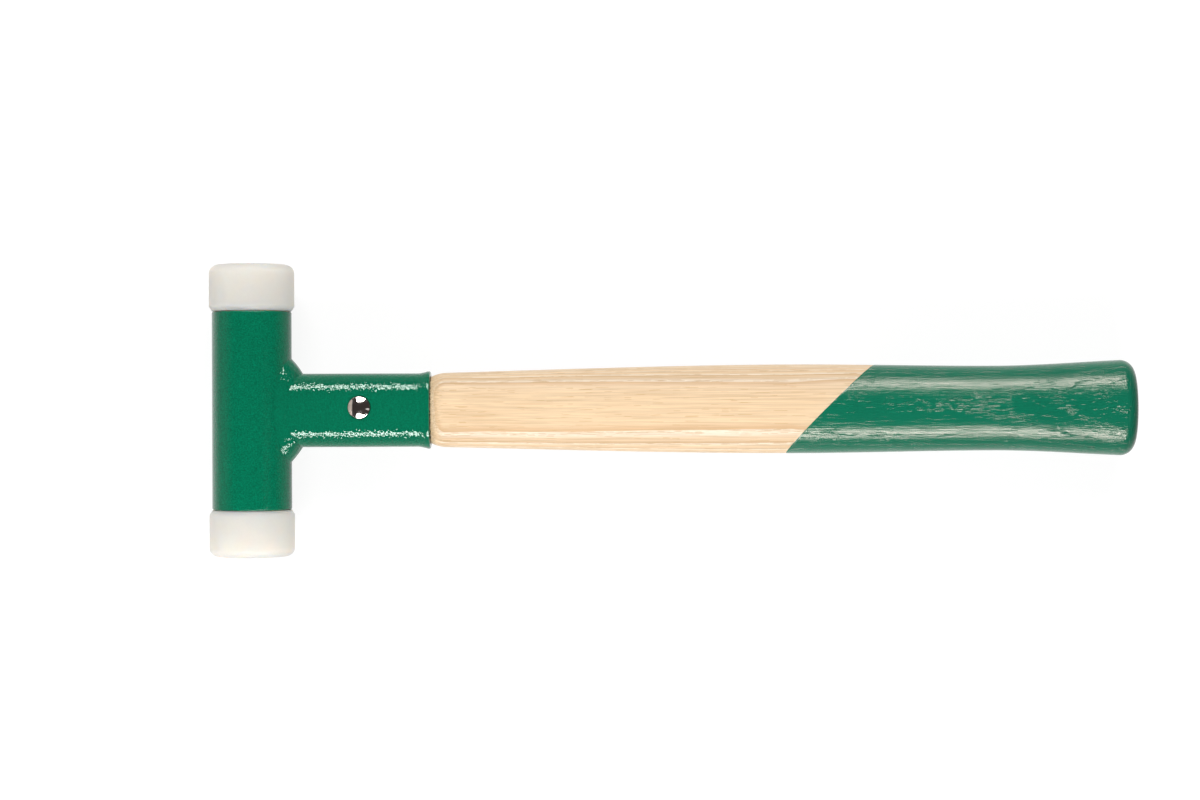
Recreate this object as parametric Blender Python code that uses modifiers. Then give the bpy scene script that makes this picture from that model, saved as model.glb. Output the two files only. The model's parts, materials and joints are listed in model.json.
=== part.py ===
"""Dead blow hammer: a steel tube head with loose shot in it, nylon striking faces and a wooden handle.

The hammer is drawn about the point where the head's axis (local Y) crosses the handle's axis (local X).
An empty then lays it on its side on the ground, on the sides of both faces and the butt of the handle.
"""

import math

import bmesh
import bpy
from mathutils import Vector

# Nylon striking faces
FACE_DIAMETER = 0.030
FACE_LENGTH = 0.0168
FACE_EDGE_RADIUS = 0.0033
FACE_HEEL_LENGTH = 0.0015
FACE_HEEL_DEPTH = 0.00105
SPIGOT_LENGTH = 0.008
SPIGOT_LEAD = 0.0008

# Head tube, with a stepped seat in each end for a disc and a spigot
TUBE_DIAMETER = 0.028
TUBE_LENGTH = 0.070
TUBE_WALL = 0.0025
TUBE_EDGE_CHAMFER = 0.0004
SEAT_STEP = 0.0008

# Discs that close the shot chamber, and the shot in it
DISC_THICKNESS = 0.002
DISC_EDGE_CHAMFER = 0.0003
SHOT_FILL = 0.80
SHOT_RING_LANES = 6

# Oval socket with a belled mouth; width is along the head, thickness across it
SOCKET_WIDTH = 0.026
SOCKET_THICKNESS = 0.0204
SOCKET_WALL = 0.0018
SOCKET_REACH = 0.0633
SOCKET_BELL = 0.0007
SOCKET_BELL_LENGTH = 0.0046
SOCKET_RIM_BEVEL = 0.0003
SOCKET_SQUARENESS = 2.5

# Fillet weld between the socket and the tube
WELD_LEG_ON_SOCKET = 0.0044
WELD_LEG_ON_TUBE_SIDE = 0.0055
WELD_LEG_ON_TUBE_FRONT = 0.0010
WELD_BULGE = 0.0007

# Oval wooden handle, from its shoulder at the socket to its butt
HANDLE_REACH = 0.3130
NECK_WIDTH = 0.0262
NECK_THICKNESS = 0.0206
BELLY_WIDTH = 0.0314
BELLY_THICKNESS = 0.0244
WAIST_WIDTH = 0.0299
WAIST_THICKNESS = 0.0232
BUTT_WIDTH = 0.0337
BUTT_THICKNESS = 0.0262
SHOULDER_LENGTH = 0.0034
BUTT_TO_WAIST = 0.045
WAIST_TO_BELLY = 0.070
NECK_EASE = 1.25
BUTT_EASE = 1.07
GRIP_SQUARENESS = 2.1
BUTT_EDGE_RADIUS = 0.0048
BUTT_CROWN = 0.0009
BUTT_FLAT_SHARE = 0.4
TENON_END_SPACE = 0.002
TENON_LEAD = 0.001

# Paint dipped over the grip: its length on the axis, its edge's slant along the head and its lean across it
PAINT_LENGTH = 0.1082
PAINT_SLANT = 1.0
PAINT_LEAN = -0.23

# Rivet through the socket and the tenon
RIVET_FROM_MOUTH = 0.0246
RIVET_OFF_CENTRE = 0.001
RIVET_HEAD_DIAMETER = 0.0081
RIVET_HEAD_HEIGHT = 0.0016
RIVET_FLANK_SLOPE = 0.60
RIVET_SHANK_DIAMETER = 0.005
RIVET_SPOT_DEPTH = 0.0005

# Clearance kept wherever one piece seats on, or passes through, another
SEAT_GAP = 0.0003

# Fineness of the surfaces
TURN_STEPS = 48
RIVET_STEPS = 28
ARC_STEPS = 5
SECTION_POINTS = 40
BELL_STEPS = 3
SPAN_STEPS = 7
BALL_STEPS = 2
CREASE_ANGLE = math.radians(35)
RIM_ANGLE = math.radians(50)
MERGE_DISTANCE = 0.00001

# What follows from the driving dimensions
FACE_RADIUS = FACE_DIAMETER / 2
TUBE_RADIUS = TUBE_DIAMETER / 2
BORE_RADIUS = TUBE_RADIUS - TUBE_WALL
SEAT_RADIUS = BORE_RADIUS + SEAT_STEP
SEAT_DEPTH = SPIGOT_LENGTH + DISC_THICKNESS + 2 * SEAT_GAP
TUBE_END = TUBE_LENGTH / 2
DISC_INNER_FACE = TUBE_END - SEAT_DEPTH + SEAT_GAP
LANE_SPREAD = 2 * math.sin(math.pi / SHOT_RING_LANES)
SHOT_RADIUS_BY_AXIS = (BORE_RADIUS - 2 * SEAT_GAP) / 3
SHOT_RADIUS_BY_RING = ((BORE_RADIUS - SEAT_GAP) * LANE_SPREAD - SEAT_GAP) / (2 + LANE_SPREAD)
SHOT_RADIUS = min(SHOT_RADIUS_BY_AXIS, SHOT_RADIUS_BY_RING)
SHOT_PITCH = 2 * SHOT_RADIUS + SEAT_GAP
SHOT_PER_LANE = int((2 * DISC_INNER_FACE * SHOT_FILL + SEAT_GAP) / SHOT_PITCH)
SHOT_TRAVEL = DISC_INNER_FACE - SEAT_GAP - (SHOT_PER_LANE * SHOT_PITCH - SEAT_GAP) / 2
BELL_START = SOCKET_REACH - SOCKET_BELL_LENGTH
TENON_WIDTH = SOCKET_WIDTH - 2 * (SOCKET_WALL + SEAT_GAP)
TENON_THICKNESS = SOCKET_THICKNESS - 2 * (SOCKET_WALL + SEAT_GAP)
RIVET_X = SOCKET_REACH - RIVET_FROM_MOUTH
RIVET_SEAT = SOCKET_THICKNESS / 2 - RIVET_SPOT_DEPTH
BUTT_X = HANDLE_REACH - BUTT_CROWN - BUTT_EDGE_RADIUS
WAIST_X = BUTT_X - BUTT_TO_WAIST
BELLY_X = WAIST_X - WAIST_TO_BELLY
NECK_X = SOCKET_REACH + SHOULDER_LENGTH
REST_TILT = math.asin((FACE_RADIUS - BUTT_THICKNESS / 2) / BUTT_X)
ALONG_HEAD = (math.radians(-90), 0, 0)
AGAINST_HEAD = (math.radians(90), 0, 0)


def clear_scene():
    for obj in list(bpy.data.objects):
        bpy.data.objects.remove(obj, do_unlink=True)


def new_collection(name):
    collection = bpy.data.collections.new(name)
    bpy.context.scene.collection.children.link(collection)
    return collection


def new_material(name, colour, roughness, metallic=0.0):
    material = bpy.data.materials.new(name)
    material.use_nodes = True
    shader = material.node_tree.nodes["Principled BSDF"]
    shader.inputs["Base Color"].default_value = (*colour, 1.0)
    shader.inputs["Roughness"].default_value = roughness
    shader.inputs["Metallic"].default_value = metallic
    material.diffuse_color = (*colour, 1.0)
    return material


def smooth_mesh(name, bm):
    """Turns a bmesh into a smooth-shaded mesh with crisp edges where its faces meet sharply."""
    mesh = bpy.data.meshes.new(name)
    bm.to_mesh(mesh)
    bm.free()
    mesh.shade_smooth()
    mesh.set_sharp_from_angle(angle=CREASE_ANGLE)
    return mesh


def new_object(name, mesh, collection):
    """Links a new object to its collection, as an empty where it has no mesh."""
    obj = bpy.data.objects.new(name, mesh)
    collection.objects.link(obj)
    return obj


def place(obj, parent, location=(0, 0, 0), rotation=(0, 0, 0), material=None):
    obj.parent = parent
    obj.location = location
    obj.rotation_euler = rotation
    if material:
        obj.data.materials.append(material)


def arc(centre, radius, start, end):
    """Points of a profile's round corner, by angle in degrees from the radius axis."""
    angles = [math.radians(start + (end - start) * i / ARC_STEPS) for i in range(ARC_STEPS + 1)]
    return [(centre[0] + radius * math.cos(a), centre[1] + radius * math.sin(a)) for a in angles]


def turned(name, profile, collection, steps=TURN_STEPS, ring=False):
    """A solid turned about its own Z axis, from (radius, height) points that run down its outer side."""
    bm = bmesh.new()
    verts = [bm.verts.new((radius, 0, height)) for radius, height in profile]
    ends = verts[1:] + verts[:1] if ring else verts[1:]
    for start, end in zip(verts, ends):
        bm.edges.new((start, end))
    obj = new_object(name, smooth_mesh(name, bm), collection)
    screw = obj.modifiers.new("turn", "SCREW")
    screw.steps = screw.render_steps = steps
    screw.use_merge_vertices = True
    screw.merge_threshold = MERGE_DISTANCE
    return obj


def oval(x, width, thickness, squareness):
    """A ring of points round the handle's axis: 2 is an ellipse, and more is squarer."""
    def bent(value, half):
        return half * math.copysign(abs(value) ** (2 / squareness), value)

    angles = [2 * math.pi * i / SECTION_POINTS for i in range(SECTION_POINTS)]
    return [Vector((x, bent(math.cos(a), width / 2), bent(math.sin(a), thickness / 2))) for a in angles]


def lofted(name, sections, collection, ends="capped"):
    """A skin over a row of rings, with its two ends capped, left open, or joined to each other."""
    bm = bmesh.new()
    rings = [[bm.verts.new(point) for point in section] for section in sections]
    followers = rings[1:] + rings[:1] if ends == "joined" else rings[1:]
    for first, second in zip(rings, followers):
        for i in range(SECTION_POINTS):
            bm.faces.new((first[i - 1], first[i], second[i], second[i - 1]))
    if ends == "capped":
        bm.faces.new(rings[0])
        bm.faces.new(rings[-1])
    if ends != "open":
        bmesh.ops.recalc_face_normals(bm, faces=bm.faces)
    return new_object(name, smooth_mesh(name, bm), collection)


def cylinder(name, radius, depth, collection):
    bm = bmesh.new()
    bmesh.ops.create_cone(
        bm, cap_ends=True, segments=TURN_STEPS, radius1=radius, radius2=radius, depth=depth
    )
    return new_object(name, smooth_mesh(name, bm), collection)


def cut(obj, cutter):
    boolean = obj.modifiers.new("cut by " + cutter.name, "BOOLEAN")
    boolean.operation = "DIFFERENCE"
    boolean.object = cutter


def cylinder_cutter(name, radius, depth, cutters, parent, location=(0, 0, 0), rotation=(0, 0, 0)):
    cutter = cylinder(name, radius, depth, cutters)
    cutter.hide_render = True
    cutter.display_type = "WIRE"
    place(cutter, parent, location, rotation)
    return cutter


def make_origin(parts):
    """The empty that lays the hammer on the ground, centred under its length."""
    origin = new_object("hammer_rest", None, parts)
    reach = HANDLE_REACH * math.cos(REST_TILT)
    place(origin, None, ((FACE_RADIUS - reach) / 2, 0, FACE_RADIUS), (0, REST_TILT, 0))
    return origin


def make_head_tube(parts, origin, paint):
    chamfered = TUBE_RADIUS - TUBE_EDGE_CHAMFER
    step = TUBE_END - SEAT_DEPTH
    outside = [
        (chamfered, TUBE_END),
        (TUBE_RADIUS, TUBE_END - TUBE_EDGE_CHAMFER),
        (TUBE_RADIUS, -TUBE_END + TUBE_EDGE_CHAMFER),
        (chamfered, -TUBE_END),
    ]
    inside = [
        (SEAT_RADIUS, -TUBE_END),
        (SEAT_RADIUS, -step),
        (BORE_RADIUS, -step),
        (BORE_RADIUS, step),
        (SEAT_RADIUS, step),
        (SEAT_RADIUS, TUBE_END),
    ]
    tube = turned("head_tube", outside + inside, parts, ring=True)
    place(tube, origin, rotation=ALONG_HEAD, material=paint)


def make_nylon_face(name, side, parts, origin, nylon):
    """A striking face: side is 1 at the upper end of the head and -1 at the lower."""
    spigot = SEAT_RADIUS - SEAT_GAP
    rim_centre = (FACE_RADIUS - FACE_EDGE_RADIUS, FACE_LENGTH - FACE_EDGE_RADIUS)
    profile = [(0, FACE_LENGTH)]
    profile += arc(rim_centre, FACE_EDGE_RADIUS, 90, 0)
    profile += [
        (FACE_RADIUS, SEAT_GAP + FACE_HEEL_LENGTH),
        (FACE_RADIUS - FACE_HEEL_DEPTH, SEAT_GAP),
        (spigot, SEAT_GAP),
        (spigot, SPIGOT_LEAD - SPIGOT_LENGTH),
        (spigot - SPIGOT_LEAD, -SPIGOT_LENGTH),
        (0, -SPIGOT_LENGTH),
    ]
    face = turned(name, profile, parts)
    rotation = ALONG_HEAD if side > 0 else AGAINST_HEAD
    place(face, origin, (0, side * TUBE_END, 0), rotation, nylon)


def make_chamber_disc(name, side, parts, origin, steel):
    disc = cylinder(name, SEAT_RADIUS - SEAT_GAP, DISC_THICKNESS, parts)
    bevel = disc.modifiers.new("edge", "BEVEL")
    bevel.width = DISC_EDGE_CHAMFER
    bevel.segments = 1
    place(disc, origin, (0, side * (DISC_INNER_FACE + DISC_THICKNESS / 2), 0), ALONG_HEAD, steel)


def make_shot(parts, origin, steel):
    """Balls in lanes along the chamber, one on its axis and the rest round it, that slide as one charge."""
    charge = new_object("shot_charge", None, parts)
    place(charge, origin)
    bm = bmesh.new()
    bmesh.ops.create_icosphere(bm, subdivisions=BALL_STEPS, radius=SHOT_RADIUS)
    ball_mesh = smooth_mesh("shot_ball", bm)
    ball_mesh.materials.append(steel)
    lane_radius = BORE_RADIUS - SEAT_GAP - SHOT_RADIUS
    lanes = [(0.0, 0.0)]
    for i in range(SHOT_RING_LANES):
        angle = 2 * math.pi * i / SHOT_RING_LANES - math.pi / 2
        lanes.append((lane_radius * math.cos(angle), lane_radius * math.sin(angle)))
    number = 0
    for x, z in lanes:
        for i in range(SHOT_PER_LANE):
            number += 1
            ball = new_object(f"shot_ball_{number:02d}", ball_mesh, parts)
            place(ball, charge, (x, (i - (SHOT_PER_LANE - 1) / 2) * SHOT_PITCH, z))


def bell_rings(inset):
    """Rings along the socket's belled mouth, standing in from its outside by an inset."""
    rings = []
    for i in range(BELL_STEPS + 1):
        share = i / BELL_STEPS
        out = 2 * (SOCKET_BELL * share ** 2 - inset)
        x = BELL_START + share * SOCKET_BELL_LENGTH
        rings.append(oval(x, SOCKET_WIDTH + out, SOCKET_THICKNESS + out, SOCKET_SQUARENESS))
    return rings


def make_socket(parts, cutters, origin, paint):
    sections = [oval(0, SOCKET_WIDTH, SOCKET_THICKNESS, SOCKET_SQUARENESS)] + bell_rings(0)
    socket = lofted("handle_socket", sections, parts, ends="open")
    wall = socket.modifiers.new("wall", "SOLIDIFY")
    wall.thickness = SOCKET_WALL
    wall.offset = -1
    wall.use_even_offset = True
    rim = socket.modifiers.new("rim", "BEVEL")
    rim.width = SOCKET_RIM_BEVEL
    rim.segments = 2
    rim.limit_method = "ANGLE"
    rim.angle_limit = RIM_ANGLE
    place(socket, origin, material=paint)
    saddle = cylinder_cutter(
        "saddle_cutter", TUBE_RADIUS + SEAT_GAP, TUBE_LENGTH, cutters, origin, rotation=ALONG_HEAD
    )
    cut(socket, saddle)
    cut(socket, rivet_hole_cutter("socket_rivet_hole", cutters, origin))
    spot_radius = RIVET_HEAD_DIAMETER / 2 + SEAT_GAP
    for name, side in (("rivet_spot_front", 1), ("rivet_spot_back", -1)):
        centre = (RIVET_X, RIVET_OFF_CENTRE, side * (RIVET_SEAT + RIVET_HEAD_HEIGHT / 2))
        cut(socket, cylinder_cutter(name, spot_radius, RIVET_HEAD_HEIGHT, cutters, origin, centre))


def rivet_hole_cutter(name, cutters, origin):
    radius = RIVET_SHANK_DIAMETER / 2 + SEAT_GAP
    return cylinder_cutter(
        name, radius, 2 * SOCKET_THICKNESS, cutters, origin, (RIVET_X, RIVET_OFF_CENTRE, 0)
    )


def make_weld(parts, origin, paint):
    """A fillet bead round the foot of the socket: its leg on the tube is laid out on the unrolled tube."""
    foot_radius = TUBE_RADIUS + SEAT_GAP
    outline = oval(0, SOCKET_WIDTH + 2 * SEAT_GAP, SOCKET_THICKNESS + 2 * SEAT_GAP, SOCKET_SQUARENESS)
    root, socket_toe, face, tube_toe = [], [], [], []
    for i, point in enumerate(outline):
        before, after = outline[i - 1], outline[(i + 1) % SECTION_POINTS]
        outward = (after - before).cross(Vector((1, 0, 0))).normalized()
        if outward.dot(point) < 0:
            outward.negate()
        leg = WELD_LEG_ON_TUBE_SIDE * outward.y ** 2 + WELD_LEG_ON_TUBE_FRONT * outward.z ** 2
        turn = math.asin(point.z / foot_radius)
        toe_turn = turn + leg * outward.z / foot_radius
        root.append(Vector((foot_radius * math.cos(turn), point.y, point.z)))
        socket_toe.append(root[-1] + Vector((WELD_LEG_ON_SOCKET, 0, 0)))
        tube_toe.append(
            Vector((
                foot_radius * math.cos(toe_turn),
                point.y + leg * outward.y,
                foot_radius * math.sin(toe_turn),
            ))
        )
        middle = (socket_toe[-1] + tube_toe[-1]) / 2
        away = (middle - root[-1]).normalized()
        face.append(middle + away * WELD_BULGE * outward.z ** 2)
    weld = lofted("socket_weld", [root, socket_toe, face, tube_toe], parts, ends="joined")
    place(weld, origin, material=paint)


def eased(share, start_slope, end_slope):
    """A cubic rise from 0 to 1, with the slopes given at its two ends."""
    rise = 3 * share ** 2 - 2 * share ** 3
    early = share ** 3 - 2 * share ** 2 + share
    late = share ** 3 - share ** 2
    return rise + start_slope * early + end_slope * late


def span(start, end, start_slope=0.0, end_slope=0.0):
    """Rings from one (x, width, thickness, squareness) station towards the next, without the last."""
    rings = []
    for i in range(SPAN_STEPS):
        share = i / SPAN_STEPS
        rise = eased(share, start_slope, end_slope)
        x = start[0] + (end[0] - start[0]) * share
        rings.append(oval(x, *[a + (b - a) * rise for a, b in zip(start[1:], end[1:])]))
    return rings


def tenon_rings():
    """The stretch inside the socket, which follows its bore out to the belled mouth."""
    end = TUBE_RADIUS + TENON_END_SPACE
    lead = 2 * TENON_LEAD
    rings = [
        oval(end, TENON_WIDTH - lead, TENON_THICKNESS - lead, SOCKET_SQUARENESS),
        oval(end + TENON_LEAD, TENON_WIDTH, TENON_THICKNESS, SOCKET_SQUARENESS),
    ]
    return rings + bell_rings(SOCKET_WALL + SEAT_GAP)


def butt_rings():
    """The rounded edge and the crowned end of the grip, down to a small flat in the middle."""
    rings = []
    for i in range(1, ARC_STEPS + 1):
        angle = math.pi / 2 * i / ARC_STEPS
        inset = 2 * BUTT_EDGE_RADIUS * (1 - math.cos(angle))
        x = BUTT_X + BUTT_EDGE_RADIUS * math.sin(angle)
        rings.append(oval(x, BUTT_WIDTH - inset, BUTT_THICKNESS - inset, GRIP_SQUARENESS))
    rim_width = BUTT_WIDTH - 2 * BUTT_EDGE_RADIUS
    rim_thickness = BUTT_THICKNESS - 2 * BUTT_EDGE_RADIUS
    for share in ((1 + BUTT_FLAT_SHARE) / 2, BUTT_FLAT_SHARE):
        rise = (1 - share ** 2) / (1 - BUTT_FLAT_SHARE ** 2)
        x = BUTT_X + BUTT_EDGE_RADIUS + BUTT_CROWN * rise
        rings.append(oval(x, rim_width * share, rim_thickness * share, GRIP_SQUARENESS))
    return rings


def make_handle(parts, cutters, origin, wood, paint):
    neck = (NECK_X, NECK_WIDTH, NECK_THICKNESS, SOCKET_SQUARENESS)
    belly = (BELLY_X, BELLY_WIDTH, BELLY_THICKNESS, GRIP_SQUARENESS)
    waist = (WAIST_X, WAIST_WIDTH, WAIST_THICKNESS, GRIP_SQUARENESS)
    butt = (BUTT_X, BUTT_WIDTH, BUTT_THICKNESS, GRIP_SQUARENESS)
    sections = tenon_rings()
    sections += span(neck, belly, start_slope=NECK_EASE)
    sections += span(belly, waist)
    sections += span(waist, butt, end_slope=BUTT_EASE)
    sections.append(oval(*butt))
    sections += butt_rings()
    handle = lofted("wooden_handle", sections, parts)
    place(handle, origin, material=wood)
    handle.data.materials.append(paint)
    dip_paint(handle)
    cut(handle, rivet_hole_cutter("tenon_rivet_hole", cutters, origin))


def dip_paint(handle):
    """Splits the handle's faces along the slanted plane of the dip, and paints the grip's side of it."""
    point = Vector((HANDLE_REACH - PAINT_LENGTH, 0, 0))
    normal = Vector((1, -PAINT_SLANT, -PAINT_LEAN)).normalized()
    bm = bmesh.new()
    bm.from_mesh(handle.data)
    everything = bm.verts[:] + bm.edges[:] + bm.faces[:]
    bmesh.ops.bisect_plane(bm, geom=everything, plane_co=point, plane_no=normal)
    for face in bm.faces:
        face.material_index = int((face.calc_center_median() - point).dot(normal) > 0)
    bm.to_mesh(handle.data)
    bm.free()


def make_rivet(parts, origin, nickel):
    """One rivet with the same head on both sides of the socket: a rounded top with nearly straight flanks."""
    head_radius = RIVET_HEAD_DIAMETER / 2
    seat = RIVET_SEAT + SEAT_GAP
    fall = RIVET_FLANK_SLOPE * head_radius
    round_top = (fall ** 2 - RIVET_HEAD_HEIGHT ** 2) / (2 * RIVET_HEAD_HEIGHT)
    upper = []
    for i in range(ARC_STEPS + 1):
        share = i / ARC_STEPS
        drop = math.hypot(round_top, fall * share) - round_top
        upper.append((head_radius * share, seat + RIVET_HEAD_HEIGHT - drop))
    upper.append((RIVET_SHANK_DIAMETER / 2, seat))
    lower = [(radius, -height) for radius, height in reversed(upper)]
    rivet = turned("handle_rivet", upper + lower, parts, steps=RIVET_STEPS)
    place(rivet, origin, (RIVET_X, RIVET_OFF_CENTRE, 0), material=nickel)


def main():
    clear_scene()
    parts = new_collection("dead_blow_hammer")
    cutters = new_collection("cutters")
    green_paint = new_material("green_paint", (0.002, 0.165, 0.082), 0.45)
    grip_paint = new_material("grip_paint", (0.004, 0.170, 0.088), 0.32)
    nylon = new_material("nylon", (0.78, 0.74, 0.66), 0.42)
    wood = new_material("lacquered_wood", (0.87, 0.64, 0.40), 0.45)
    nickel = new_material("nickel_plate", (0.75, 0.72, 0.68), 0.12, 1.0)
    steel = new_material("plain_steel", (0.52, 0.52, 0.53), 0.35, 1.0)
    origin = make_origin(parts)
    make_head_tube(parts, origin, green_paint)
    for place_name, side in (("upper", 1), ("lower", -1)):
        make_nylon_face("nylon_face_" + place_name, side, parts, origin, nylon)
        make_chamber_disc("chamber_disc_" + place_name, side, parts, origin, steel)
    make_shot(parts, origin, steel)
    make_socket(parts, cutters, origin, green_paint)
    make_weld(parts, origin, green_paint)
    make_handle(parts, cutters, origin, wood, grip_paint)
    make_rivet(parts, origin, nickel)
    print(f"shot balls {SHOT_RADIUS * 2000:.2f} mm, travel {SHOT_TRAVEL * 1000:.2f} mm each way")
    print(f"rest tilt {math.degrees(REST_TILT):.3f} degrees")


main()
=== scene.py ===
"""Looks of the dead blow hammer: its enamelled head and socket, nylon faces, nickel rivet and ash handle.

Every piece is drawn in the hammer's own frame, in metres: the head's axis is Y, the handle's axis is X,
and they cross at the middle of the head. REST then lays the piece where the frame has the hammer lying.
"""
import json
import math

import bmesh
import bpy
from mathutils import Matrix, Vector, noise


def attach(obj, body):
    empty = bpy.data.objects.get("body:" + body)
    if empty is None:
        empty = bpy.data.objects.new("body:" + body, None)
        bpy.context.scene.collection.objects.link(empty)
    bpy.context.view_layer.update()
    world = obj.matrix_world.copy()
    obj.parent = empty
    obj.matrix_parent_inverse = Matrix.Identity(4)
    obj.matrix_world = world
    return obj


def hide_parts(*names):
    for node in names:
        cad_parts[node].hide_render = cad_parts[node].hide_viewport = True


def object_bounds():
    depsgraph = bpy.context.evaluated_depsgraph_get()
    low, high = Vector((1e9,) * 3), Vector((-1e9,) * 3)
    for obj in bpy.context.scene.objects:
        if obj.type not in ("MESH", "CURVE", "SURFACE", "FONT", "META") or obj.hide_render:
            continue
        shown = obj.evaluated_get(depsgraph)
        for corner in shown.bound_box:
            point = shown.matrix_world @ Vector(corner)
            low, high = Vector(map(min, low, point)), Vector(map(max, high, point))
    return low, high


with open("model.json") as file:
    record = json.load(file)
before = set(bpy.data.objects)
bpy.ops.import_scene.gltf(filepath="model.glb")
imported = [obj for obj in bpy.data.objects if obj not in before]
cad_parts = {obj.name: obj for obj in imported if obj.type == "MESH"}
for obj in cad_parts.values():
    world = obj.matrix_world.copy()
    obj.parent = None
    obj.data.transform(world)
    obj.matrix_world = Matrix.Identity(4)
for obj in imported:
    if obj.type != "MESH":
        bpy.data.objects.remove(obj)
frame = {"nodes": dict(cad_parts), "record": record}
CAD_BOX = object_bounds()

# Photograph: pixels of its 1200 by 800 frame, and the size that one of them has at the handle's axis
PHOTO_WIDTH = 1200
PHOTO_CENTRE = (600, 400)
HEAD_CENTRE_PIXEL = (252.0, 409.4)
PIXEL = 0.0003538
CAMERA_DISTANCE = 0.90
CAMERA_ROLL = math.radians(-0.2)
CAMERA_SENSOR = 36

# Head tube
TUBE_RADIUS = 0.014
TUBE_END = 0.035
TUBE_LIP = 0.0006

# Nylon faces: an ease is (inward, outward along the head) steps that round the heel, or its foot
FACE_RADIUS = 0.015
FACE_END = 0.0518
FACE_EDGE_RADIUS = 0.0033
FACE_CROWN = 0.00025
FACE_FLAT_SHARES = (0.001, 0.3, 0.6, 0.85)
FACE_GAP = 0.00005
HEEL_LENGTH = 0.0015
HEEL_DEPTH = 0.00105
HEEL_EASE = ((0.0, 0.0006), (0.00008, 0.0001))
HEEL_FOOT_EASE = ((0.0, 0.0002), (0.0004, FACE_GAP))
SPIGOT_RADIUS = 0.012
SPIGOT_LENGTH = 0.008
SPIGOT_CHAMFER = 0.0008
SPIGOT_CLEARANCE = 0.0003

# Socket
SOCKET_WIDTH = 0.026
SOCKET_THICKNESS = 0.0204
SOCKET_WALL = 0.0018
SOCKET_REACH = 0.0633
SOCKET_SUNK = 0.0008
SOCKET_SQUARENESS = 2.5
SOCKET_BELL = 0.0007
SOCKET_BELL_LENGTH = 0.0046
SOCKET_BELL_POWER = 1.6
SOCKET_LIP_LENGTH = 0.0007
SOCKET_RIM_LENGTH = 0.0004
SOCKET_MOUTH_DEPTH = 0.003
SOCKET_HOLLOW_START = 0.001

# Weld: a wobble is (cells a metre, height), and the last one also has a place of its own in the noise
WELD_LEG_ON_SOCKET = 0.0044
WELD_LEG_ON_TUBE_SIDE = 0.0055
WELD_LEG_ON_TUBE_FRONT = 0.0010
WELD_SUNK = 0.0003
WELD_BULGE = 0.0007
WELD_BULGE_AT_SIDES = 0.3
WELD_RIPPLE_LENGTH = 0.0023
WELD_RIPPLE_HEIGHT = 0.00003
WELD_RIPPLE_WOBBLE = (400, 2)
WELD_TUBE_WOBBLE = (220, 0.0005)
WELD_SOCKET_WOBBLE = (260, 0.0006, (3, 1, 7))

# Rivet: the facet is a dull flat on the left of its head, and its lighter tan colour is a painted reflection
RIVET_PLACE = (0.0387, 0.001)
RIVET_RADIUS = 0.00405
RIVET_HEIGHT = 0.0016
RIVET_FLANK_SLOPE = 0.60
RIVET_EDGE_ROLL = 0.0003
RIVET_EDGE_START = 0.92
RIVET_TIP_SHARE = 0.002
RIVET_SHANK_SHARE = 0.62
RIVET_SUNK = 0.0001
RIVET_FACET = (-0.0025, -0.0021)
RIVET_FACET_ENDS = (0.0026, 0.0031)
# painted shade: the ring of the rivet's head that is painted dark
RIVET_RIM_SHADE_BAND = (0.94 * RIVET_RADIUS, 0.99 * RIVET_RADIUS)
RIVET_SPOT_DEPTH = 0.0005
RIVET_SPOT_MARGIN = 0.0004
RIVET_SPOT_EASE = 0.0012
RIVET_SEAT = SOCKET_THICKNESS / 2 - RIVET_SPOT_DEPTH

# Handle: its main sections are (width, thickness)
HANDLE_REACH = 0.3130
TENON_START = 0.002
TENON_CLEARANCE = 0.0003
TENON_MOUTH_DEPTH = 0.0002
SHOULDER_LENGTH = 0.0034
SHOULDER_EASE_LENGTH = 0.0022
NECK = (0.0262, 0.0206)
BELLY = (0.0314, 0.0244)
WAIST = (0.0299, 0.0232)
BUTT = (0.0337, 0.0262)
BUTT_TO_WAIST = 0.045
WAIST_TO_BELLY = 0.070
NECK_EASE = 1.25
BUTT_EASE = 1.07
GRIP_SQUARENESS = 2.1
BUTT_EDGE_RADIUS = 0.0048
BUTT_CROWN = 0.0009
BUTT_CROWN_SHARES = (0.85, 0.7, 0.55, 0.4, 0.25, 0.1, 0.01)
NECK_PLACE = SOCKET_REACH + SHOULDER_LENGTH
SHOULDER_END = NECK_PLACE + SHOULDER_EASE_LENGTH
BUTT_PLACE = HANDLE_REACH - BUTT_CROWN - BUTT_EDGE_RADIUS
WAIST_PLACE = BUTT_PLACE - BUTT_TO_WAIST
BELLY_PLACE = WAIST_PLACE - WAIST_TO_BELLY
# painted shadow at the socket's rim: its width on the wood, and how ragged it is
JOINT_SHADOW_WIDTH = (0.0001, 0.00035)
JOINT_RAGGED = 0.0002
JOINT_BLOTCH = (0.0006, 0.0006, 0.0006)
JOINT_BLOTCH_SPAN = (0.3, 0.7)
PAINT_LENGTH = 0.1082
PAINT_SLANT = 1.0
PAINT_LEAN = -0.23
PAINT_THICKNESS = 0.00006
PAINT_EDGE = 0.00015

# Grain of the ash billet: one broad ring lies along the bare front, and the rings run out at the grip
RING_CENTRE = (-0.0012, -0.026)
RING_TOP = 0.03914
BROAD_RING = 0.0016
RING_WIDTH_UPPER = 0.0008
RING_WIDTH_LOWER = 0.0016
RING_WIDTH_SPAN = (-0.008, 0.008)
RING_WANDER = 0.0003
RING_WANDER_SIZE = (0.06, 0.006, 0.006)
TAPER_RISE = 0.0019
TAPER_POWER = 1.5
RUN_OUT_START = 0.19
RUN_OUT = 0.0185
EARLY_BAND = (0.20, 0.45)
EDGE_BAND = (0.72, 0.97)
PORE_BAND = (0.10, 0.30)
PORE_ENDS = (0.30, 0.45)
PORE_SIDES = (0.0, 0.40)
LONG_PORE = (0.0062, 0.00026)
SHORT_PORE = (0.0034, 0.00022)
FIBRE = (0.0200, 0.00026)
STREAK = (0.030, 0.0006, 0.0006)
END_GRAIN = (NECK_PLACE - 0.0006, NECK_PLACE + 0.0002)

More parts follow.
